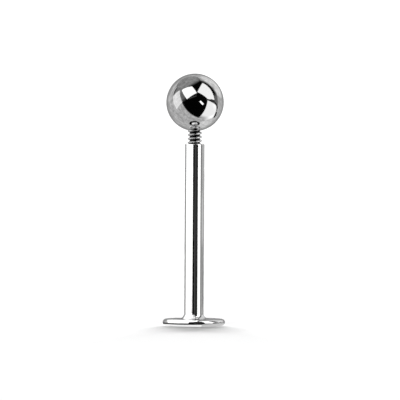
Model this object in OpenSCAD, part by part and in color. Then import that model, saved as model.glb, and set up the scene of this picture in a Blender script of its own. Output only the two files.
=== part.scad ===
// Labret stud: a straight post turned in one piece with its flat disc, and a ball end whose
// threaded pin screws into the post's open end. It stands on its disc with the ball end
// unscrewed by a few turns, so that the thread shows. Millimetres, +Z up, origin at the
// centre of the disc's underside.

/* [Post] */
// Diameter of the post
post_d = 1.6; // [1.6:0.1:2.4]
// Length of the post, from the disc's upper face to its open end
post_l = 14.5; // [6:0.5:20]
// Radius that rounds the outer edge of the open end
post_edge_r = 0.1; // [0.04:0.01:0.12]
// Radius of the fillet between the post and the disc
post_fillet_r = 0.45; // [0.1:0.05:0.6]

/* [Disc] */
// Diameter of the disc
disc_d = 5.15; // [4.4:0.05:8]
// Thickness of the disc, whose rim is fully rounded
disc_t = 0.55; // [0.4:0.05:0.9]

/* [Ball end] */
// Diameter of the ball
ball_d = 4.76; // [3:0.01:6]
// Diameter of the pin over the thread's crests
thread_d = 1.2; // [1:0.05:1.2]
// Distance from one crest of the thread to the next
thread_pitch = 0.32; // [0.25:0.01:0.4]
// Depth of the thread, from crest to root
thread_depth = 0.18; // [0.1:0.01:0.22]
// Length of the full thread below the ball
thread_l = 1.2; // [0.8:0.1:2]
// Length over which the thread runs out towards the tip
run_out_l = 0.5; // [0.3:0.1:0.8]
// Length of the rounded tip
tip_l = 0.3; // [0.2:0.02:0.4]
// Turns by which the ball end is unscrewed from its seat
turns_out = 3.5; // [0:0.5:5]

/* [Bore] */
// Gap all round between the thread's crests and the bore's wall
thread_gap = 0.03; // [0.02:0.01:0.05]
// Width of the countersink at the bore's mouth
sink_w = 0.05; // [0.02:0.01:0.06]
// Gap between the ball and the bore's mouth when the ball end is screwed home
seat_gap = 0.02; // [0.01:0.01:0.1]
// Depth of the bore beyond the pin's tip
bore_spare = 0.4; // [0.1:0.1:1]

/* [Hidden] */

post_r = post_d / 2;
disc_r = disc_d / 2;
ball_r = ball_d / 2;
rim_r = disc_t / 2;
post_top = disc_t + post_l;

crest_r = thread_d / 2;
root_r = crest_r - thread_depth;
pin_l = thread_l + run_out_l + tip_l;
pin_root = 0.3;

bore_r = crest_r + thread_gap;
mouth_r = bore_r + sink_w;
seat_h = sqrt(ball_r ^ 2 - mouth_r ^ 2) + seat_gap;
pin_tip_drop = ball_r + pin_l - seat_h;
bore_depth = pin_tip_drop + bore_spare;

ball_z = post_top + seat_h + turns_out * thread_pitch;

sides = 96;
thread_sides = 32;
rows_per_pitch = 8;
tip_rows = 5;

// The 2D outline of a rim rounded to a half circle, right of the axis
module disc_outline() {
    square([disc_r - rim_r, disc_t]);
    translate([disc_r - rim_r, rim_r]) circle(rim_r, $fn = sides);
}

// The 2D outline of the post with its rounded top edge and the fillet at its foot
module post_outline() {
    square([post_r, post_top - post_edge_r]);
    square([post_r - post_edge_r, post_top]);
    translate([post_r - post_edge_r, post_top - post_edge_r]) circle(post_edge_r, $fn = sides);
    difference() {
        translate([0, disc_t / 2]) square([post_r + post_fillet_r, disc_t / 2 + post_fillet_r]);
        translate([post_r + post_fillet_r, disc_t + post_fillet_r]) circle(post_fillet_r, $fn = sides);
    }
}

// The 2D outline of the bore: countersink, straight wall and drill point
module bore_outline() {
    drill_point = bore_r * tan(30);
    polygon([
        [0, post_top + sink_w],
        [mouth_r + sink_w, post_top + sink_w],
        [bore_r, post_top - sink_w],
        [bore_r, post_top - bore_depth],
        [0, post_top - bore_depth - drill_point],
    ]);
}

module labret_post() {
    color("silver")
    rotate_extrude($fn = sides)
    difference() {
        union() {
            disc_outline();
            post_outline();
        }
        bore_outline();
    }
}

// Share of the thread's depth at a phase of 0 to 1 along one pitch: flat root, flank, flat crest
function thread_form(phase) =
    let (from_crest = abs(phase - 0.5) * 2)
    1 - min(1, max(0, (from_crest - 0.2) / 0.6));

// Share of the full thread left at a depth below the ball
function thread_left(depth) = min(1, max(0, (thread_l + run_out_l - depth) / run_out_l));

// Radius of the pin at a depth below the ball and an angle round it
function pin_radius(depth, angle) =
    let (turns = depth / thread_pitch + angle / 360)
    root_r + thread_depth * thread_left(depth) * thread_form(turns - floor(turns));

// One ring of points round the pin
function pin_ring(depth) = [
    for (side = [0:thread_sides - 1])
        let (angle = side * 360 / thread_sides, r = pin_radius(depth, angle))
        [r * cos(angle), r * sin(angle), -ball_r - depth]
];

// One ring of points round the rounded tip, at a share of the way from its edge to its end
function tip_ring(share) =
    let (r = root_r * cos(90 * share), depth = thread_l + run_out_l + tip_l * sin(90 * share))
    [
        for (side = [0:thread_sides - 1])
            let (angle = side * 360 / thread_sides)
            [r * cos(angle), r * sin(angle), -ball_r - depth]
    ];

module threaded_pin() {
    body_l = thread_l + run_out_l;
    row_count = ceil((pin_root + body_l) / thread_pitch * rows_per_pitch);
    rings = concat(
        [for (row = [0:row_count]) pin_ring(-pin_root + (pin_root + body_l) * row / row_count)],
        [for (row = [1:tip_rows - 1]) tip_ring(row / tip_rows)]
    );
    n = thread_sides;
    points = concat([for (ring = rings) each ring], [[0, 0, -ball_r - pin_l]]);
    walls = [
        for (row = [0:len(rings) - 2], side = [0:n - 1])
            let (a = row * n + side, b = row * n + (side + 1) % n)
            each [[a, b, b + n], [a, b + n, a + n]]
    ];
    first = [for (side = [n - 1:-1:0]) side];
    base = (len(rings) - 1) * n;
    tip = [for (side = [0:n - 1]) [base + side, base + (side + 1) % n, len(points) - 1]];
    polyhedron(points, concat(walls, [first], tip), convexity = 6);
}

module ball_end() {
    color("silver")
    translate([0, 0, ball_z]) {
        sphere(ball_r, $fn = sides);
        threaded_pin();
    }
}

labret_post();
ball_end();
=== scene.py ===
"""Labret stud of mirror-polished surgical steel, standing on its disc on a white studio table.

The straight post and its flat disc are turned in one piece. The ball end has a threaded pin,
and it is unscrewed from the post by a few turns, so that its thread shows.

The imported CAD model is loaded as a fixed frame, and both of its nodes are replaced by finer
meshes of the same sizes. The meshes are shaped in millimetres, and the last step of each one
scales it to the frame's metres. +X is to the camera's right, +Y away from it and +Z up.
"""

import logging
import math
from collections.abc import Callable
from dataclasses import dataclass
from enum import Enum

import bmesh
import bpy
from mathutils import Matrix, Vector


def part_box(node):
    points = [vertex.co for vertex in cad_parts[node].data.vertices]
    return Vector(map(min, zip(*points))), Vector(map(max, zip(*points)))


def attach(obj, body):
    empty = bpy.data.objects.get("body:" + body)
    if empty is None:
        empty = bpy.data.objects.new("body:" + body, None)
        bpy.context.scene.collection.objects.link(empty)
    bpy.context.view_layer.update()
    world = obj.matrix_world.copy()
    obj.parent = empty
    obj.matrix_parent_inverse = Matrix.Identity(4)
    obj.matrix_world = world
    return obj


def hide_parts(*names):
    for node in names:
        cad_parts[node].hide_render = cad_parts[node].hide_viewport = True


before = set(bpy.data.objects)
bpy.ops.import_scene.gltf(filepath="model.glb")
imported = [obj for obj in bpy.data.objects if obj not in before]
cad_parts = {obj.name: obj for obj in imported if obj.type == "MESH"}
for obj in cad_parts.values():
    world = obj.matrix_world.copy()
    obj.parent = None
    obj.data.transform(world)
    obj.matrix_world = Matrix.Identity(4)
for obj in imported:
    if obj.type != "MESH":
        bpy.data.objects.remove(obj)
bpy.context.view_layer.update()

# Metres in a millimetre
MM = 0.001
# Millimetres within which vertices are merged, and within which a cut snaps to a vertex
WELD = 1e-4
CUT_SNAP = WELD / 10
# The attribute that says how deep in the thread a vertex lies, which sets the painted shade in its
# grooves
GROOVE_DEPTH = "groove_depth"
# Watts that an area lamp needs for a radiance of 1, for each square metre
WATTS_PER_RADIANCE = math.pi
# How far the camera looks down
CAMERA_RISE = math.radians(1.5)
AXIS = Vector((0.0, 0.0, 1.0))
ORIGIN = Vector((0.0, 0.0, 0.0))

log = logging.getLogger("labret_stud")

Settings = dict[str, object]


class Body(Enum):
    """The CAD bodies that a piece can ride on."""

    POST = "post"
    BALL = "ball"


class Slot(Enum):
    """Names of the two steels' material slots, which nothing here uses."""

    POST_STEEL = "post_steel"
    BALL_STEEL = "ball_steel"


class Receiver(Enum):
    """What a studio light falls on."""

    POST = "lit_post"
    BALL = "lit_ball"
    TABLE = "lit_table"


class Marks(Enum):
    """Which way the marks of a metal's last working run."""

    ROUND_THE_AXIS = "round the axis"
    ALL_WAYS = "all ways"


class ToolUse(Enum):
    """What a tool does to the solid that it is used on."""

    JOIN = "UNION"
    CUT = "DIFFERENCE"


class PanelShape(Enum):
    """The outline of a softbox's front."""

    RECTANGLE = "RECTANGLE"
    ELLIPSE = "ELLIPSE"


def linear(hex_colour: str) -> tuple[float, float, float, float]:
    """Turns an sRGB hex colour to linear light, with the numbers of the sRGB standard.

    Args:
        hex_colour: The colour as six hex digits after a #.

    Returns:
        The red, green, blue and alpha that a colour socket takes.
    """
    shares = [int(hex_colour[i : i + 2], 16) / 255 for i in (1, 3, 5)]
    red, green, blue = (
        share / 12.92 if share <= 0.04045 else ((share + 0.055) / 1.055) ** 2.4
        for share in shares
    )
    return red, green, blue, 1.0


def add_node(
    tree: bpy.types.NodeTree, kind: str, settings: Settings, links: Settings
) -> bpy.types.Node:
    """Adds a node with its settings and links.

    Args:
        tree: The node tree that it goes in.
        kind: The node's type.
        settings: Values of the node's own properties, by name.
        links: For an input, by its name or identifier, a value or the output that feeds it.

    Returns:
        The new node.
    """
    node = tree.nodes.new(kind)
    for name, value in settings.items():
        setattr(node, name, value)
    for name, value in links.items():
        socket = next(s for s in node.inputs if s.enabled and name in (s.identifier, s.name))
        if isinstance(value, bpy.types.NodeSocket):
            tree.links.new(value, socket)
        else:
            socket.default_value = value
    return node


@dataclass(frozen=True)
class Steel:
    """A finish of surgical steel, 316L, from how its surface was worked.

    Smears are soft patches in which the tone and the shine change a little. Marks are the fine
    relief that the last working leaves. A span gives the values between which an effect grows.
    """

    name: str
    light: str
    dark: str
    roughness: tuple[float, float]
    smear_mm: float
    mark_mm: float
    mark_depth_mm: float
    marks: Marks
    # The colour of painted shade in a thread's grooves, laid on by their depth
    groove: str | None = None
    groove_span: tuple[float, float] = (0.4, 0.75)
    smear_span: tuple[float, float] = (0.3, 0.7)
    smear_detail: float = 3.0
    smear_roughness: float = 0.55
    mark_detail: float = 2.0

    def material(self) -> bpy.types.Material:
        """Builds the finish.

        Returns:
            A metal whose tone, roughness and fine marks vary over the surface.
        """
        made = bpy.data.materials.new(self.name)
        made.use_nodes = True
        tree = made.node_tree
        shader = tree.nodes["Principled BSDF"]
        shader.inputs["Metallic"].default_value = 1.0
        position = add_node(tree, "ShaderNodeTexCoord", {}, {}).outputs["Object"]
        smears = add_node(
            tree,
            "ShaderNodeTexNoise",
            {},
            {
                "Vector": position,
                "Scale": 1 / (self.smear_mm * MM),
                "Detail": self.smear_detail,
                "Roughness": self.smear_roughness,
            },
        ).outputs["Fac"]
        shine = add_node(
            tree,
            "ShaderNodeMapRange",
            {},
            {
                "Value": smears,
                "From Min": self.smear_span[0],
                "From Max": self.smear_span[1],
                "To Min": self.roughness[0],
                "To Max": self.roughness[1],
            },
        ).outputs["Result"]
        marks = add_node(
            tree,
            "ShaderNodeTexNoise",
            {},
            {
                "Vector": self._mark_position(tree, position),
                "Scale": 1 / (self.mark_mm * MM),
                "Detail": self.mark_detail,
            },
        ).outputs["Fac"]
        relief = add_node(
            tree,
            "ShaderNodeBump",
            {},
            {"Strength": 1.0, "Distance": self.mark_depth_mm * MM, "Height": marks},
        ).outputs["Normal"]
        tree.links.new(self._tone(tree, smears), shader.inputs["Base Color"])
        tree.links.new(shine, shader.inputs["Roughness"])
        tree.links.new(relief, shader.inputs["Normal"])
        return made

    def _tone(
        self, tree: bpy.types.NodeTree, smears: bpy.types.NodeSocket
    ) -> bpy.types.NodeSocket:
        """Mixes dark and light steel, and over them a painted shade that darkens a thread's
        grooves by their depth.

        Args:
            tree: The material's node tree.
            smears: How light the steel is, from 0 to 1.

        Returns:
            The finish's colour.
        """
        layers = [(smears, self.light)]
        if self.groove:
            # Painted shade: the thread darkens from its crests towards its roots
            depth = add_node(
                tree, "ShaderNodeAttribute", {"attribute_name": GROOVE_DEPTH}, {}
            ).outputs["Fac"]
            start, full = self.groove_span
            groove_shade = add_node(
                tree,
                "ShaderNodeMapRange",
                {"interpolation_type": "SMOOTHSTEP"},
                {"Value": depth, "From Min": start, "From Max": full},
            ).outputs["Result"]
            layers.append((groove_shade, self.groove))
        tone: bpy.types.NodeSocket | tuple[float, ...] = linear(self.dark)
        for share, colour in layers:
            mix = add_node(
                tree,
                "ShaderNodeMix",
                {"data_type": "RGBA"},
                {"Factor_Float": share, "A_Color": tone, "B_Color": linear(colour)},
            )
            tone = next(socket for socket in mix.outputs if socket.enabled)
        return tone

    def _mark_position(
        self, tree: bpy.types.NodeTree, position: bpy.types.NodeSocket
    ) -> bpy.types.NodeSocket:
        """Gives the coordinates that the fine marks are drawn on.

        Args:
            tree: The material's node tree.
            position: The object coordinates.

        Returns:
            Object coordinates for marks that run all ways, or the radius and the height for
            marks that a lathe leaves round the axis.
        """
        if self.marks is Marks.ALL_WAYS:
            return position
        split = add_node(tree, "ShaderNodeSeparateXYZ", {}, {"Vector": position})
        flat = add_node(
            tree,
            "ShaderNodeCombineXYZ",
            {},
            {"X": split.outputs["X"], "Y": split.outputs["Y"]},
        )
        radius = add_node(
            tree,
            "ShaderNodeVectorMath",
            {"operation": "LENGTH"},
            {"Vector": flat.outputs["Vector"]},
        )
        return add_node(
            tree,
            "ShaderNodeCombineXYZ",
            {},
            {"X": radius.outputs["Value"], "Z": split.outputs["Z"]},
        ).outputs["Vector"]


# 316L steel, tumbled and then buffed on a soft wheel. The eye gets a mirror whose edges are
# crisp, with a haze so faint that it shows only as a slight unevenness in the dark parts. The
# real scratches are about 0.001 mm apart, and are drawn at 0.22 mm.
BUFFED_BALL = Steel(
    name="surgical steel, buffed to a mirror",
    light="#D6D6D6",
    dark="#CDCDCD",
    roughness=(0.05, 0.08),
    smear_mm=1.6,
    mark_mm=0.22,
    mark_depth_mm=0.00003,
    marks=Marks.ALL_WAYS,
)
# 316L steel, turned on a lathe and polished as it spun. The marks of the lathe are really about
# 0.005 mm apart, and are drawn at 0.12 mm so that they show as a faint ringing.
POLISHED_POST = Steel(
    name="surgical steel, turned and polished",
    light="#D6D6D6",
    dark="#CBCBCB",
    roughness=(0.06, 0.1),
    smear_mm=1.2,
    mark_mm=0.12,
    mark_depth_mm=0.00002,
    marks=Marks.ROUND_THE_AXIS,
)
# 316L steel, cut by a die or a tap and left as cut. Its grooves are darkened by painted shade,
# so that the eye gets dark bars between bright crests, less sharp than the polished steel beside
# them. The real tool marks are about 0.003 mm apart, and are drawn at 0.04 mm.
CUT_THREAD = Steel(
    name="surgical steel, cut thread",
    light="#E4E4E4",
    dark="#D4D4D4",
    roughness=(0.16, 0.28),
    smear_mm=0.3,
    mark_mm=0.04,
    mark_depth_mm=0.0002,
    marks=Marks.ROUND_THE_AXIS,
    # The colour of the painted shade in the grooves
    groove="#262626",
)


def outwards(azimuth: float, elevation: float) -> Vector:
    """Gives the way from the object to a light.

    Args:
        azimuth: Degrees round from the camera's side, towards its right.
        elevation: Degrees above the table.

    Returns:
        The way, one unit long.
    """
    turn, rise = math.radians(azimuth), math.radians(elevation)
    return Vector(
        (math.sin(turn) * math.cos(rise), -math.cos(turn) * math.cos(rise), math.sin(rise))
    )


@dataclass(frozen=True)
class Corner:
    """A corner of a turned outline, in millimetres, and how it is rounded."""

    radius: float
    height: float
    rounding: float = 0.0
    segments: int = 1


def turned(corners: list[Corner], steps: int) -> bmesh.types.BMesh:
    """Turns an outline about the Z axis into a closed shell.

    Args:
        corners: The outline, from the axis round and back to the axis.
        steps: Steps in the full turn.

    Returns:
        The shell, in millimetres.
    """
    bm = bmesh.new()
    points = [bm.verts.new((corner.radius, 0.0, corner.height)) for corner in corners]
    for start, end in zip(points, points[1:]):
        bm.edges.new((start, end))
    for point, corner in zip(points, corners):
        if corner.rounding:
            bmesh.ops.bevel(
                bm,
                geom=[point],
                offset=corner.rounding,
                offset_type="OFFSET",
                segments=corner.segments,
                profile=0.5,
                affect="VERTICES",
                clamp_overlap=False,
                material=-1,
            )
    bmesh.ops.remove_doubles(bm, verts=bm.verts[:], dist=WELD)
    guard_straights(bm)
    bmesh.ops.spin(
        bm,
        geom=bm.verts[:] + bm.edges[:],
        cent=ORIGIN,
        axis=AXIS,
        angle=math.tau,
        steps=steps,
        use_merge=True,
    )
    bmesh.ops.remove_doubles(bm, verts=bm.verts[:], dist=WELD)
    bmesh.ops.recalc_face_normals(bm, faces=bm.faces[:])
    return bm


def guard_straights(
    bm: bmesh.types.BMesh, reach: float = 0.03, shortest: float = 0.12, longest: float = 1.0
) -> None:
    """Splits an outline's straights near both ends, so that the roundings don't shade them.

    Args:
        bm: The outline, as vertices and edges.
        reach: How far from a straight's ends it is split.
        shortest: Length up to which an edge is left as it is.
        longest: The longest edge that is left between the splits.
    """
    for edge in [e for e in bm.edges if e.calc_length() > shortest]:
        start, end = edge.verts
        length = edge.calc_length()
        guards = [bmesh.utils.edge_split(edge, start, reach / length)[1]]
        rest = next(e for e in guards[0].link_edges if end in e.verts)
        guards.append(bmesh.utils.edge_split(rest, end, reach / (length - reach))[1])
        middle = next(e for e in guards[0].link_edges if guards[1] in e.verts)
        cuts = int(length / longest)
        if cuts:
            bmesh.ops.subdivide_edges(bm, edges=[middle], cuts=cuts)


@dataclass(frozen=True)
class Thread:
    """A screw thread: its size, and the form that a die or tap gives it, in millimetres.

    The flats of the crests and roots take up flat_share of the pitch each. The thread is swept
    for spare_turns beyond its ends, so that it can be cut off square.
    """

    crest_r: float
    root_r: float
    pitch: float
    rounding: float
    rounding_steps: int = 3
    flat_share: float = 0.2
    steps: int = 96
    spare_turns: int = 2

    def cut(self, bottom: float, top: float, crest_at: float) -> bmesh.types.BMesh:
        """Sweeps one pitch of the thread's outline up a right-hand helix.

        Args:
            bottom: Height that the sweep starts at or below.
            top: Height that the sweep ends at or above.
            crest_at: Height of a crest's middle at the positive X axis.

        Returns:
            The open skin of the thread.
        """
        half_pitch = self.pitch / 2
        half_flat = self.flat_share * self.pitch / 2
        turns = math.ceil((top - bottom) / self.pitch) + self.spare_turns + 1
        turns_below = math.floor((crest_at - bottom) / self.pitch) + self.spare_turns
        start = crest_at - self.pitch * turns_below
        outline = [
            (self.root_r, -half_pitch),
            (self.root_r, half_flat - half_pitch),
            (self.crest_r, -half_flat),
            (self.crest_r, half_flat),
            (self.root_r, half_pitch - half_flat),
            (self.root_r, half_pitch),
        ]
        bm = bmesh.new()
        points = [bm.verts.new((radius, 0.0, start + rise)) for radius, rise in outline]
        for first, second in zip(points, points[1:]):
            bm.edges.new((first, second))
        bmesh.ops.bevel(
            bm,
            geom=points[1:-1],
            offset=self.rounding,
            offset_type="OFFSET",
            segments=self.rounding_steps,
            profile=0.5,
            affect="VERTICES",
            material=-1,
        )
        bmesh.ops.spin(
            bm,
            geom=bm.verts[:] + bm.edges[:],
            cent=ORIGIN,
            axis=AXIS,
            dvec=(0.0, 0.0, self.pitch / self.steps),
            angle=math.tau,
            steps=self.steps,
        )
        first_turn = bm.verts[:] + bm.edges[:] + bm.faces[:]
        for turn in range(1, turns):
            copied = bmesh.ops.duplicate(bm, geom=first_turn)["geom"]
            verts = [v for v in copied if isinstance(v, bmesh.types.BMVert)]
            bmesh.ops.translate(bm, verts=verts, vec=(0.0, 0.0, self.pitch * turn))
        bmesh.ops.remove_doubles(bm, verts=bm.verts[:], dist=WELD)
        return bm

    def trim(self, bm: bmesh.types.BMesh, height: float, upper: bool) -> list[bmesh.types.BMEdge]:
        """Cuts a thread's skin off square at a height.

        Args:
            bm: The skin.
            height: Height of the cut.
            upper: Whether what lies above the cut goes, and not what lies below it.

        Returns:
            The edges of the cut.
        """
        cut = bmesh.ops.bisect_plane(
            bm,
            geom=bm.verts[:] + bm.edges[:] + bm.faces[:],
            dist=CUT_SNAP,
            plane_co=(0.0, 0.0, height),
            plane_no=AXIS,
            clear_outer=upper,
            clear_inner=not upper,
        )["geom_cut"]
        return [e for e in cut if isinstance(e, bmesh.types.BMEdge)]


def solid(name: str, bm: bmesh.types.BMesh) -> bpy.types.Object:
    """Makes an object of a shape.

    Args:
        name: The object's name.
        bm: The shape, which is freed.

    Returns:
        The object, in the scene.
    """
    mesh = bpy.data.meshes.new(name)
    bm.to_mesh(mesh)
    bm.free()
    made = bpy.data.objects.new(name, mesh)
    bpy.context.scene.collection.objects.link(made)
    return made


def combine(base: bpy.types.Object, tool: bpy.types.Object, use: ToolUse) -> None:
    """Joins a tool to a solid, or cuts it out of it, and removes the tool.

    Args:
        base: The solid, whose mesh is changed.
        tool: The other solid.
        use: What the tool does.
    """
    cutter = base.modifiers.new("combine", "BOOLEAN")
    cutter.solver = "EXACT"
    cutter.operation = use.value
    cutter.object = tool
    seen = base.evaluated_get(bpy.context.evaluated_depsgraph_get())
    result = bpy.data.meshes.new_from_object(seen)
    base.modifiers.remove(cutter)
    old = base.data
    base.data = result
    bpy.data.meshes.remove(old)
    bpy.data.objects.remove(tool)
    result.name = base.name


def settle(
    made: bpy.types.Object,
    finishes: list[bpy.types.Material],
    is_thread: Callable[[bmesh.types.BMFace], bool],
    height: float = 0.0,
    sharp_deg: float = 38.0,
) -> None:
    """Scales a finished solid to metres, closes and smooths it, and puts its steel on.

    Args:
        made: The solid, in millimetres.
        finishes: The outer finish and the cut thread's.
        is_thread: Says of a face, in millimetres, whether it is cut thread.
        height: How far up the solid goes, in millimetres.
        sharp_deg: Edges that turn by more than this stay sharp.
    """
    bm = bmesh.new()
    bm.from_mesh(made.data)
    bmesh.ops.remove_doubles(bm, verts=bm.verts[:], dist=WELD)
    bmesh.ops.dissolve_degenerate(bm, edges=bm.edges[:], dist=WELD)
    bmesh.ops.recalc_face_normals(bm, faces=bm.faces[:])
    for face in bm.faces:
        face.smooth = True
        face.material_index = int(is_thread(face))
    bmesh.ops.translate(bm, verts=bm.verts[:], vec=(0.0, 0.0, height))
    bmesh.ops.scale(bm, verts=bm.verts[:], vec=(MM, MM, MM))
    made.data.materials.clear()
    for finish in finishes:
        made.data.materials.append(finish)
    bm.to_mesh(made.data)
    bm.free()
    made.data.set_sharp_from_angle(angle=math.radians(sharp_deg))


def place(made: bpy.types.Object, node: str, body: Body) -> None:
    """Puts a finished piece in the frame.

    Args:
        made: The piece.
        node: The CAD node that it stands for.
        body: The body that it rides on.
    """
    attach(made, body.value)
    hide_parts(node)
    triangles = sum(len(polygon.vertices) - 2 for polygon in made.data.polygons)
    log.info("%s: %d triangles, rides on %s", made.name, triangles, body.value)


@dataclass
class LabretPost:
    """The post with its disc, turned in one piece and bored and tapped at its open end.

    Sizes are in millimetres. The bore's last untapped_l has no thread, the tap stands tap_over
    out of the mouth, and the post's polish reaches polish_depth into the bore.
    """

    node: str = "labret_post"
    disc_r: float = 2.575
    disc_t: float = 0.55
    rim_steps: int = 16
    post_r: float = 0.8
    post_edge_r: float = 0.1
    post_edge_steps: int = 8
    post_fillet_r: float = 0.45
    post_fillet_steps: int = 14
    bore_r: float = 0.63
    bore_depth: float = 2.48
    drill_point_deg: float = 30.0
    sink_w: float = 0.05
    sink_edge_r: float = 0.012
    sink_edge_steps: int = 2
    polish_depth: float = 0.01
    untapped_l: float = 0.3
    tap_over: float = 0.05
    tap: Thread = Thread(crest_r=0.7, root_r=0.6, pitch=0.32, rounding=0.015)
    steps: int = 160

    def outline(self, top: float) -> list[Corner]:
        """Gives the turned outline, with its drilled bore.

        Args:
            top: Height of the open end.

        Returns:
            The outline's corners, from the underside's middle to the drill point.
        """
        floor = top - self.bore_depth
        drill_point = self.bore_r * math.tan(math.radians(self.drill_point_deg))
        rim = (self.disc_t / 2, self.rim_steps)
        sink_edge = (self.sink_edge_r, self.sink_edge_steps)
        return [
            Corner(0.0, 0.0),
            Corner(self.disc_r, 0.0, *rim),
            Corner(self.disc_r, self.disc_t, *rim),
            Corner(self.post_r, self.disc_t, self.post_fillet_r, self.post_fillet_steps),
            Corner(self.post_r, top, self.post_edge_r, self.post_edge_steps),
            Corner(self.bore_r + self.sink_w, top, *sink_edge),
            Corner(self.bore_r, top - self.sink_w, *sink_edge),
            Corner(self.bore_r, floor),
            Corner(0.0, floor - drill_point),
        ]

    def build(self, thread_steel: bpy.types.Material) -> bpy.types.Object:
        """Builds the piece in the frame's place for its node.

        Args:
            thread_steel: The finish of the bore and its thread.

        Returns:
            The dressed piece.
        """
        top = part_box(self.node)[1].z / MM
        made = solid(self.node + "_turned", turned(self.outline(top), self.steps))
        combine(made, self._tap_tool(top), ToolUse.CUT)
        steels = [POLISHED_POST.material(), thread_steel]
        settle(made, steels, lambda face: self._in_bore(face, top))
        return made

    def _tap_tool(self, top: float) -> bpy.types.Object:
        """Makes the solid that cuts the bore's thread.

        Args:
            top: Height of the open end.

        Returns:
            A threaded rod from above the mouth to a little above the bore's floor.
        """
        low, high = top - self.bore_depth + self.untapped_l, top + self.tap_over
        bm = self.tap.cut(low, high, top)
        for height, upper in ((low, False), (high, True)):
            bmesh.ops.edgeloop_fill(bm, edges=self.tap.trim(bm, height, upper))
        bmesh.ops.recalc_face_normals(bm, faces=bm.faces[:])
        return solid("tap", bm)

    def _in_bore(self, face: bmesh.types.BMFace, top: float) -> bool:
        """Says whether a face belongs to the bore, below the polish at its mouth."""
        spot = face.calc_center_median()
        return spot.xy.length < self.tap.crest_r and self.disc_t < spot.z < top - self.polish_depth


@dataclass
class BallEnd:
    """The ball with its threaded pin, in one piece.

    Sizes are in millimetres. The pin starts pin_root inside the ball. What is further from the
    ball's middle than off_ball times its radius belongs to the pin.
    """

    node: str = "ball_end"
    ball_r: float = 2.38
    thread_l: float = 1.2
    run_out_l: float = 0.5
    tip_l: float = 0.3
    pin_root: float = 0.3
    off_ball: float = 1.001
    thread: Thread = Thread(crest_r=0.6, root_r=0.42, pitch=0.32, rounding=0.03)
    columns: int = 192
    tip_rows: int = 10

    @property
    def middle(self) -> Vector:
        """The ball's middle, in the frame's place for its node."""
        return Vector((0.0, 0.0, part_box(self.node)[1].z / MM - self.ball_r))

    @property
    def thread_end(self) -> float:
        """The height at which nothing is left of the thread, from the ball's middle."""
        return -self.ball_r - self.thread_l - self.run_out_l

    def build(self, thread_steel: bpy.types.Material) -> bpy.types.Object:
        """Builds the piece in the frame's place for its node.

        Args:
            thread_steel: The finish of the pin.

        Returns:
            The dressed piece.
        """
        bm = bmesh.new()
        bmesh.ops.create_uvsphere(
            bm, u_segments=self.columns, v_segments=self.columns // 2, radius=self.ball_r
        )
        made = solid(self.node + "_polished", bm)
        combine(made, self._pin(), ToolUse.JOIN)
        self._mark_grooves(made)
        steels = [BUFFED_BALL.material(), thread_steel]
        settle(made, steels, self._on_pin, height=self.middle.z)
        return made

    def _thread_left(self, height: float) -> float:
        """Gives the share of the thread's depth that is left at a height."""
        return min(1.0, max(0.0, (height - self.thread_end) / self.run_out_l))

    def _mark_grooves(self, made: bpy.types.Object) -> None:
        """Writes how deep in the thread each vertex lies, from 0 at a crest to 1 at a root.

        Args:
            made: The ball with its pin, in millimetres about the ball's middle.
        """
        thread = self.thread
        deepest = thread.crest_r - thread.root_r
        depths = made.data.attributes.new(GROOVE_DEPTH, "FLOAT", "POINT").data
        for vert, depth in zip(made.data.vertices, depths):
            if vert.co.length > self.ball_r * self.off_ball and vert.co.z > self.thread_end:
                crest_r = thread.root_r + deepest * self._thread_left(vert.co.z)
                depth.value = (crest_r - vert.co.xy.length) / deepest

    def _pin(self) -> bpy.types.Object:
        """Makes the threaded pin below the ball's middle.

        Returns:
            The pin, with its run-out and rounded tip.
        """
        high = self.pin_root - self.ball_r
        bm = self.thread.cut(self.thread_end, high, -self.ball_r - self.thread.pitch / 2)
        for vert in bm.verts:
            self._run_out(vert)
        bmesh.ops.edgeloop_fill(bm, edges=self.thread.trim(bm, high, upper=True))
        self._round_tip(bm, self.thread.trim(bm, self.thread_end, upper=False))
        bmesh.ops.recalc_face_normals(bm, faces=bm.faces[:])
        return solid("pin", bm)

    def _run_out(self, vert: bmesh.types.BMVert) -> None:
        """Lets the thread's depth die away towards the tip.

        Args:
            vert: A vertex of the thread's skin.
        """
        root_r = self.thread.root_r
        radius = vert.co.xy.length
        wanted = root_r + (radius - root_r) * self._thread_left(vert.co.z)
        vert.co.x *= wanted / radius
        vert.co.y *= wanted / radius

    def _round_tip(self, bm: bmesh.types.BMesh, rim: list[bmesh.types.BMEdge]) -> None:
        """Closes the pin's lower end with a rounded tip.

        Args:
            bm: The pin.
            rim: The edges of its open lower end.
        """
        before = 1.0
        for row in range(1, self.tip_rows + 1):
            turn = math.pi / 2 * row / self.tip_rows
            grown = bmesh.ops.extrude_edge_only(bm, edges=rim)["geom"]
            rim = [e for e in grown if isinstance(e, bmesh.types.BMEdge) and e.is_boundary]
            ring = [v for v in grown if isinstance(v, bmesh.types.BMVert)]
            share = math.cos(turn)
            squeeze = share / before
            bmesh.ops.scale(bm, verts=ring, vec=(squeeze, squeeze, 1.0))
            for vert in ring:
                vert.co.z = self.thread_end - self.tip_l * math.sin(turn)
            before = share
        bmesh.ops.pointmerge(bm, verts=ring, merge_co=(0.0, 0.0, self.thread_end - self.tip_l))

    def _on_pin(self, face: bmesh.types.BMFace) -> bool:
        """Says whether a face belongs to the pin."""
        return face.calc_center_median().length > self.ball_r * self.off_ball


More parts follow.
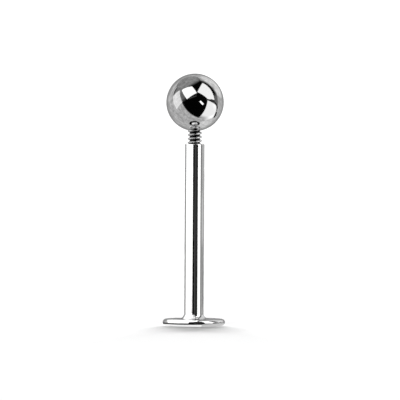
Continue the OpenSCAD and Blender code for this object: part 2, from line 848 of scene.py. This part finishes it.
@dataclass(frozen=True)
class Softbox:
    """An evenly lit panel of the light tent. Angles are in degrees, sizes in millimetres.

    Azimuth 0 is the camera's side and 90 is to its right. The panel faces the point that it is
    aimed at, and is then spun, tilted and leant about its own axes. A fade is the height over
    which the light of its lower edge dies away, in steps of nested panels.
    """

    name: str
    azimuth: float
    elevation: float
    width: float
    height: float
    radiance: float
    aim: tuple[float, float, float] | None = None
    spin: float = 0.0
    tilt: float = 0.0
    lean: float = 0.0
    distance: float = 200.0
    shape: PanelShape = PanelShape.RECTANGLE
    fade: float = 0.0
    fade_steps: int = 6
    fade_gap: float = 1.0

    def build(self, aim: Vector, lit: bpy.types.Collection) -> None:
        """Hangs the panel in its place, or nested panels if its lower edge fades out.

        Args:
            aim: The point that it faces, unless it has its own.
            lit: What the panel lights.
        """
        aim = Vector(self.aim) if self.aim else aim
        steps = self.fade_steps if self.fade else 1
        for step in range(steps):
            cut = self.fade * step / steps
            panel = self._panel(aim, cut, step * self.fade_gap, self.radiance / steps)
            panel.light_linking.receiver_collection = lit

    def _panel(self, aim: Vector, cut: float, back: float, radiance: float) -> bpy.types.Object:
        """Hangs one panel.

        Args:
            aim: The point that it faces.
            cut: How much of the panel's height is left off at its lower edge.
            back: How far the panel is moved back, so that nested panels don't coincide.
            radiance: The panel's radiance.

        Returns:
            The light, which the camera doesn't see.
        """
        lamp = bpy.data.lights.new(self.name, "AREA")
        lamp.shape = self.shape.value
        lamp.size = self.width * MM
        lamp.size_y = (self.height - cut) * MM
        area = lamp.size * lamp.size_y
        if self.shape is PanelShape.ELLIPSE:
            area *= math.pi / 4
        lamp.energy = radiance * area * WATTS_PER_RADIANCE
        made = bpy.data.objects.new(self.name, lamp)
        bpy.context.scene.collection.objects.link(made)
        out = outwards(self.azimuth, self.elevation)
        spot = (aim + out * self.distance) * MM
        made.matrix_world = (
            Matrix.Translation(spot)
            @ out.to_track_quat("Z", "Y").to_matrix().to_4x4()
            @ Matrix.Rotation(math.radians(self.spin), 4, "Z")
            @ Matrix.Rotation(math.radians(self.tilt), 4, "X")
            @ Matrix.Rotation(math.radians(self.lean), 4, "Y")
            @ Matrix.Translation((0.0, cut / 2 * MM, back * MM))
        )
        made.visible_camera = False
        return made


@dataclass(frozen=True)
class Card:
    """A finish of matt card."""

    name: str
    colour: str

    def material(self) -> bpy.types.Material:
        """Builds the finish.

        Returns:
            A surface that scatters light evenly and has no shine.
        """
        made = bpy.data.materials.new(self.name)
        made.use_nodes = True
        shader = made.node_tree.nodes["Principled BSDF"]
        shader.inputs["Base Color"].default_value = linear(self.colour)
        shader.inputs["Roughness"].default_value = 1.0
        shader.inputs["Specular IOR Level"].default_value = 0.0
        return made


# Card with a matt white coat. The eye gets an even white ground that only shadows mark.
WHITE_CARD = Card("matt white card", "#F2F2F2")
# Card with a matt black coat. The steel shows it as a dark shape with a crisp edge.
BLACK_CARD = Card("matt black card", "#050505")


def lay_card(
    name: str, bm: bmesh.types.BMesh, finish: Card, height: float = 0.0
) -> bpy.types.Object:
    """Lays a flat piece of card that casts no shadow.

    Args:
        name: The card's name.
        bm: Its flat shape, in millimetres, which is freed.
        finish: Its finish.
        height: How far up it goes, in millimetres.

    Returns:
        The card, which isn't part of the object.
    """
    bmesh.ops.translate(bm, verts=bm.verts[:], vec=(0.0, 0.0, height))
    bmesh.ops.scale(bm, verts=bm.verts[:], vec=(MM, MM, MM))
    made = solid(name, bm)
    made.data.materials.append(finish.material())
    made.visible_shadow = False
    return made


def lay_shade(name: str, bm: bmesh.types.BMesh, height: float = 0.0) -> None:
    """Lays a black card that only reflections show.

    Args:
        name: The card's name.
        bm: Its flat shape, in millimetres, which is freed.
        height: How far up it goes, in millimetres.
    """
    made = lay_card(name, bm, BLACK_CARD, height)
    made.visible_camera = False
    made.visible_diffuse = False


@dataclass(frozen=True)
class ShadeCard:
    """A flat black card that is part of a ring about the post's axis.

    Sizes are in millimetres and angles in degrees, from the camera's side towards its right.
    """

    name: str
    inner_r: float
    outer_r: float
    start: float
    end: float
    height: float
    steps: int = 48

    def build(self) -> None:
        """Lays the card."""
        bm = bmesh.new()
        edge = [
            bm.verts.new(outwards(self.start, 0.0) * radius)
            for radius in (self.inner_r, self.outer_r)
        ]
        bm.edges.new(edge)
        bmesh.ops.spin(
            bm,
            geom=bm.verts[:] + bm.edges[:],
            cent=ORIGIN,
            axis=AXIS,
            angle=math.radians(self.end - self.start),
            steps=self.steps,
        )
        lay_shade(self.name, bm, self.height)


@dataclass(frozen=True)
class ShadeStrip:
    """A thin black strip beside the ball, which the ball shows as a fine dark line.

    The spots are where the middle of the line shows on the ball from the camera's side, as
    shares of the ball's radius to the right and upwards. The width is such a share too. The
    strip hangs at its distance from the ball in millimetres.
    """

    name: str
    spots: tuple[tuple[float, float], ...]
    width: float
    distance: float = 30.0

    def build(self, ball: BallEnd) -> None:
        """Hangs the strip.

        Args:
            ball: The ball that shows it.
        """
        bm = bmesh.new()
        spots = [Vector(spot) for spot in self.spots]
        for side in (-0.5, 0.5):
            row = []
            for before, spot, after in zip(spots[:1] + spots, spots, spots[1:] + spots[-1:]):
                along = (after - before).normalized()
                across = Vector((-along.y, along.x)) * self.width * side
                row.append(bm.verts.new(ball.middle + self._beside(spot + across, ball.ball_r)))
            for start, end in zip(row, row[1:]):
                bm.edges.new((start, end))
        bmesh.ops.bridge_loops(bm, edges=bm.edges[:])
        lay_shade(self.name, bm)

    def _beside(self, spot: Vector, radius: float) -> Vector:
        """Follows the camera's view off the ball.

        Args:
            spot: Where the view meets the ball.
            radius: The ball's radius.

        Returns:
            Where the reflected view reaches the strip, from the ball's middle.
        """
        view = Vector((0.0, 1.0, 0.0))
        normal = Vector((spot.x, -math.sqrt(1.0 - spot.length_squared), spot.y))
        way = normal * radius + view.reflect(normal) * self.distance
        return Matrix.Rotation(-CAMERA_RISE, 3, "X") @ way


@dataclass(frozen=True)
class Edge:
    """A soft edge of a lit part of the tent's cloth, across a direction.

    The cloth has its least light where the cosine to the direction is at start, and all of its
    light at full.
    """

    direction: tuple[float, float, float]
    start: float
    full: float
    least: float = 0.0


@dataclass(frozen=True)
class Glow:
    """A lit part of the tent's cloth, and the edges that bound it."""

    radiance: float
    edges: tuple[Edge, ...]


@dataclass(frozen=True)
class Tent:
    """The light tent: a white backdrop for the camera, and grey cloth for the reflections.

    The folds vary the cloth's light between the shares in fold_light. Unlit is the light that
    is left where no part of it is lit, and the dome is the even light on the table.
    """

    glows: tuple[Glow, ...]
    dome: float = 0.08
    backdrop: float = 1.2
    unlit: float = 0.001
    fold_scale: float = 6.0
    fold_detail: float = 6.0
    fold_roughness: float = 0.65
    fold_distortion: float = 0.6
    fold_span: tuple[float, float] = (0.38, 0.62)
    fold_light: tuple[float, float] = (0.72, 1.28)

    def build(self) -> None:
        """Paints the tent on the scene's world."""
        world = bpy.data.worlds.new("light tent")
        bpy.context.scene.world = world
        world.use_nodes = True
        tree = world.node_tree
        tree.nodes.clear()
        white = linear("#FFFFFF")
        cloth, dome, backdrop = (
            add_node(
                tree, "ShaderNodeBackground", {}, {"Color": white, "Strength": strength}
            ).outputs["Background"]
            for strength in (self._cloth(tree), self.dome, self.backdrop)
        )
        rays = add_node(tree, "ShaderNodeLightPath", {}, {}).outputs
        shown = dome
        for ray, light in (("Is Glossy Ray", cloth), ("Is Camera Ray", backdrop)):
            shown = add_node(
                tree,
                "ShaderNodeMixShader",
                {},
                {"Fac": rays[ray], "Shader": shown, "Shader_001": light},
            ).outputs["Shader"]
        add_node(tree, "ShaderNodeOutputWorld", {}, {"Surface": shown})

    def _cloth(self, tree: bpy.types.NodeTree) -> bpy.types.NodeSocket:
        """Paints the folded cloth, with the brightest of its lit parts in each direction.

        Args:
            tree: The world's node tree.

        Returns:
            The cloth's radiance in the direction that is looked in.
        """
        way = add_node(tree, "ShaderNodeTexCoord", {}, {}).outputs["Generated"]
        folds = add_node(
            tree,
            "ShaderNodeTexNoise",
            {},
            {
                "Vector": way,
                "Scale": self.fold_scale,
                "Detail": self.fold_detail,
                "Roughness": self.fold_roughness,
                "Distortion": self.fold_distortion,
            },
        ).outputs["Fac"]
        cloth = add_node(
            tree,
            "ShaderNodeMapRange",
            {},
            {
                "Value": folds,
                "From Min": self.fold_span[0],
                "From Max": self.fold_span[1],
                "To Min": self.fold_light[0],
                "To Max": self.fold_light[1],
            },
        ).outputs["Result"]
        brightest: bpy.types.NodeSocket | float = 0.0
        for glow in self.glows:
            brightest = add_node(
                tree,
                "ShaderNodeMath",
                {"operation": "MAXIMUM"},
                {"Value": brightest, "Value_001": self._glow(tree, way, glow)},
            ).outputs["Value"]
        return add_node(
            tree,
            "ShaderNodeMath",
            {"operation": "MULTIPLY_ADD"},
            {"Value": brightest, "Value_001": cloth, "Value_002": self.unlit},
        ).outputs["Value"]

    def _glow(
        self, tree: bpy.types.NodeTree, way: bpy.types.NodeSocket, glow: Glow
    ) -> bpy.types.NodeSocket | float:
        """Paints one lit part of the cloth.

        Args:
            tree: The world's node tree.
            way: The direction that is looked in.
            glow: The lit part.

        Returns:
            Its radiance in that direction.
        """
        light: bpy.types.NodeSocket | float = glow.radiance
        for edge in glow.edges:
            close = add_node(
                tree,
                "ShaderNodeVectorMath",
                {"operation": "DOT_PRODUCT"},
                {"Vector": way, "Vector_001": Vector(edge.direction).normalized()},
            ).outputs["Value"]
            share = add_node(
                tree,
                "ShaderNodeMapRange",
                {"interpolation_type": "SMOOTHSTEP"},
                {
                    "Value": close,
                    "From Min": edge.start,
                    "From Max": edge.full,
                    "To Min": edge.least,
                },
            ).outputs["Result"]
            light = add_node(
                tree,
                "ShaderNodeMath",
                {"operation": "MULTIPLY"},
                {"Value": share, "Value_001": light},
            ).outputs["Value"]
        return light


@dataclass(frozen=True)
class LongLens:
    """The camera at the photograph's angle, with its long lens.

    The target is in millimetres, like the sensor, and the other sizes are in metres.
    """

    target: tuple[float, float, float] = (0.455, 0.0, 10.39)
    distance: float = 0.6
    frame_width: float = 0.0331
    sensor: float = 36.0
    nearest: float = 0.05
    furthest: float = 5.0
    roll_deg: float = 0.32

    def build(self) -> bpy.types.Object:
        """Sets the camera up.

        Returns:
            The camera.
        """
        lens = bpy.data.cameras.new("camera")
        lens.sensor_width = self.sensor
        lens.lens = self.sensor * self.distance / self.frame_width
        lens.clip_start = self.nearest
        lens.clip_end = self.furthest
        made = bpy.data.objects.new("camera", lens)
        bpy.context.scene.collection.objects.link(made)
        back = Vector((0.0, -math.cos(CAMERA_RISE), math.sin(CAMERA_RISE)))
        upright = Matrix.Rotation(math.pi / 2 - CAMERA_RISE, 4, "X")
        roll = Matrix.Rotation(math.radians(self.roll_deg), 4, "Z")
        spot = Vector(self.target) * MM + back * self.distance
        made.matrix_world = Matrix.Translation(spot) @ upright @ roll
        return made


@dataclass
class Studio:
    """The white table with its lamps and cards, the light tent and the camera.

    The receivers are the post and the ball end. Sizes are in millimetres.
    """

    receivers: dict[Receiver, bpy.types.Object]
    ball: BallEnd
    tent: Tent
    softboxes: dict[Receiver, tuple[Softbox, ...]]
    shade_cards: tuple[ShadeCard, ...]
    shade_strips: tuple[ShadeStrip, ...]
    camera: LongLens = LongLens()
    table_size: float = 1200.0
    table_height: float = -0.002

    def build(self) -> None:
        """Sets up the table, the lights, the cards, the tent and the camera."""
        scene = bpy.context.scene
        scene.view_settings.view_transform = "Standard"
        lit = {**self.receivers, Receiver.TABLE: self._table()}
        groups = {receiver: self._group(receiver, piece) for receiver, piece in lit.items()}
        for receiver, softboxes in self.softboxes.items():
            for softbox in softboxes:
                softbox.build(Vector(AIMS[receiver]), groups[receiver])
        for card in self.shade_cards:
            card.build()
        for strip in self.shade_strips:
            strip.build(self.ball)
        self.tent.build()
        scene.camera = self.camera.build()

    def _group(self, receiver: Receiver, piece: bpy.types.Object) -> bpy.types.Collection:
        """Makes the collection that lights fall on.

        Args:
            receiver: What it stands for.
            piece: The one thing in it.

        Returns:
            The collection.
        """
        group = bpy.data.collections.new(receiver.value)
        group.objects.link(piece)
        return group

    def _table(self) -> bpy.types.Object:
        """Lays the white table, which reflections don't show.

        Returns:
            The table, which isn't part of the object.
        """
        bm = bmesh.new()
        bmesh.ops.create_grid(bm, x_segments=1, y_segments=1, size=self.table_size / 2)
        made = lay_card("table", bm, WHITE_CARD, self.table_height)
        made.visible_glossy = False
        return made


# Points in millimetres that lamps without an aim of their own face
AIMS = {
    Receiver.POST: (0.0, 0.0, 8.0),
    Receiver.BALL: (0.0, 0.0, 18.5),
    Receiver.TABLE: (0.0, 0.0, 0.0),
}

# Each row gives a softbox's name, azimuth, elevation, width, height, radiance and own aim
POST_SOFTBOXES = (
    # The bright band at the left of the shaft, and the light on the disc's face
    Softbox("post_left", -73.0, 0.0, 433.0, 330.0, 1.9, (14.3, -46.7, 153.0)),
    Softbox("post_behind_left", -162.0, 42.0, 85.0, 130.0, 0.9),
    Softbox("post_above", -80.0, 66.0, 388.0, 310.0, 1.7, (-41.2, 49.5, -6.2)),
    Softbox("post_above_front", -14.0, 33.0, 84.0, 70.0, 0.45, (0.0, 0.0, 1.0)),
    # The next is small and close to the disc, and faces down so that the shaft doesn't show it
    Softbox("post_fillet_front", 0.0, 90.0, 1.1, 1.6, 0.9, (-0.1, -2.6, 0.0), distance=1.9),
    Softbox("post_above_right", 0.0, 90.0, 110.0, 105.0, 1.5, (105.0, -68.0, 8.0)),
    # The dim room in front, which makes the shaft's dark middle
    Softbox("post_room_line", 4.0, 0.0, 22.0, 120.0, 0.1),
    Softbox("post_room", 19.0, 0.0, 100.0, 120.0, 0.04),
    # The bright band at the right of the shaft, and greyer ones beside it
    Softbox("post_right", 58.2, 0.0, 121.0, 400.0, 1.9, (0.0, 0.0, 180.0)),
    Softbox("post_right_top", 76.5, 34.0, 62.0, 195.0, 1.3),
    Softbox("post_right_seam", 79.0, 0.0, 82.0, 60.0, 0.2),
    Softbox("post_far_right", 106.0, 0.0, 107.0, 330.0, 0.3),
    # The light that the table throws up at the disc's rim
    Softbox(
        "post_table", 0.0, -90.0, 6.4, 5.5, 0.85, (0.5, 0.0, -0.05), distance=0.01,
        shape=PanelShape.ELLIPSE,
    ),
)
# The ball's large windows, then its small bright one and a thin line of the room
BALL_SOFTBOXES = (
    Softbox("ball_upper_left", -30.3, 47.7, 169.0, 162.0, 1.6, spin=47.6, tilt=24.0, lean=-31.3),
    Softbox("ball_left", -84.1, 10.6, 182.0, 135.0, 0.55, spin=-46.0, tilt=-17.2, lean=28.4),
    Softbox("ball_above", 58.0, 27.4, 240.0, 169.0, 1.36, spin=-87.4, tilt=-29.9, lean=-45.2),
    Softbox(
        "ball_right", 88.5, -27.5, 259.0, 196.0, 1.3, spin=13.9, tilt=7.6, lean=-51.2, fade=50.0
    ),
    Softbox("ball_window", 26.5, -0.8, 28.0, 64.0, 2.0, spin=46.1, tilt=5.7, lean=-38.7),
    Softbox("ball_room_line", -9.0, 21.8, 124.0, 13.0, 0.08, spin=28.4, tilt=15.5, lean=-22.3),
)
# The first throws the shadow towards the camera, and the wide ones lighten it
TABLE_SOFTBOXES = (
    Softbox("table_behind", 180.0, 2.75, 6900.0, 272.0, 3130.0, distance=12000.0),
    Softbox("table_wide_behind", 180.0, 7.25, 41500.0, 1153.0, 48.0, distance=12000.0),
    Softbox("table_wide_front", 0.0, 2.7, 41500.0, 628.0, 215.0, distance=12000.0),
)

BACK = (0.0, 1.0, 0.0)
UPPER_LEFT = (-0.336, 0.201, 0.919)
LEFT = (-0.817, -0.075, 0.572)
LOW_BACK_LEFT = Edge((-0.529, 0.712, -0.461), -0.02, 0.05)
BESIDE_UPPER_LEFT = Edge(UPPER_LEFT, 0.872, 0.842)
BESIDE_LEFT = Edge(LEFT, 0.93, 0.9)
DIMMER_BEHIND = Edge(BACK, 0.95, 0.6, least=0.52)
GLOWS = (
    # Behind and below on the left, with two patches left out of it
    Glow(0.6, (LOW_BACK_LEFT, BESIDE_UPPER_LEFT, BESIDE_LEFT, DIMMER_BEHIND)),
    Glow(0.6, (LOW_BACK_LEFT, Edge((-0.34, -0.769, -0.542), -0.02, 0.02), DIMMER_BEHIND)),
    # Behind on all sides, which the steel shows along its outline
    Glow(0.63, (Edge(BACK, 0.13, 0.38), BESIDE_UPPER_LEFT, BESIDE_LEFT, DIMMER_BEHIND)),
    # The brightest part, behind and above on the right
    Glow(0.95, (Edge(BACK, 0.15, 0.38), Edge((0.6, 0.55, 0.58), 0.75, 0.95))),
    # The two patches, dimmer
    Glow(0.36, (Edge(UPPER_LEFT, 0.84, 0.89), Edge((-0.61, 0.79, 0.0), -0.2, 0.2, least=0.06))),
    Glow(0.27, (Edge(LEFT, 0.93, 0.95), Edge((0.34, 0.769, 0.542), -0.02, 0.02))),
    # Soft spots below on the right, high on the left towards the camera, and at the right
    Glow(0.85, (Edge((0.397, 0.345, -0.85), 0.82, 0.97),)),
    Glow(0.2, (Edge((-0.77, -0.3, 0.5), 0.78, 0.97),)),
    Glow(0.2, (Edge((1.0, 0.1, 0.0), 0.9, 0.98),)),
)

# Black cards round the disc, which its rim shows as dark lines above the table. The first is
# painted shade: it lies where the table's shadow round the disc falls, since the table doesn't
# show in reflections. The second darkens the rim's lower right.
SHADE_CARDS = (
    ShadeCard("shade_front_left", 2.72, 5.0, start=-134.0, end=17.0, height=-0.001),
    ShadeCard("shade_right", 0.5, 4.4, start=16.0, end=150.0, height=-0.1),
)

# Strips that draw the left edge of the ball's right window, and the notch below it
SHADE_STRIPS = (
    ShadeStrip(
        "shade_window_edge",
        (
            (0.556, 0.1),
            (0.612, 0.06),
            (0.682, 0.008),
            (0.734, -0.055),
            (0.76, -0.136),
            (0.768, -0.215),
        ),
        width=0.042,
    ),
    ShadeStrip(
        "shade_window_notch",
        ((0.745, -0.335), (0.733, -0.38), (0.716, -0.43), (0.69, -0.48), (0.662, -0.523)),
        width=0.04,
    ),
)


def main() -> None:
    """Builds the pieces and the studio."""
    logging.basicConfig(level=logging.INFO, format="%(name)s: %(message)s")
    thread_steel = CUT_THREAD.material()
    post = LabretPost()
    post_piece = post.build(thread_steel)
    place(post_piece, post.node, Body.POST)
    ball = BallEnd()
    ball_piece = ball.build(thread_steel)
    place(ball_piece, ball.node, Body.BALL)
    studio = Studio(
        {Receiver.POST: post_piece, Receiver.BALL: ball_piece},
        ball=ball,
        tent=Tent(GLOWS),
        softboxes={
            Receiver.POST: POST_SOFTBOXES,
            Receiver.BALL: BALL_SOFTBOXES,
            Receiver.TABLE: TABLE_SOFTBOXES,
        },
        shade_cards=SHADE_CARDS,
        shade_strips=SHADE_STRIPS,
    )
    studio.build()


if __name__ == "__main__":
    main()
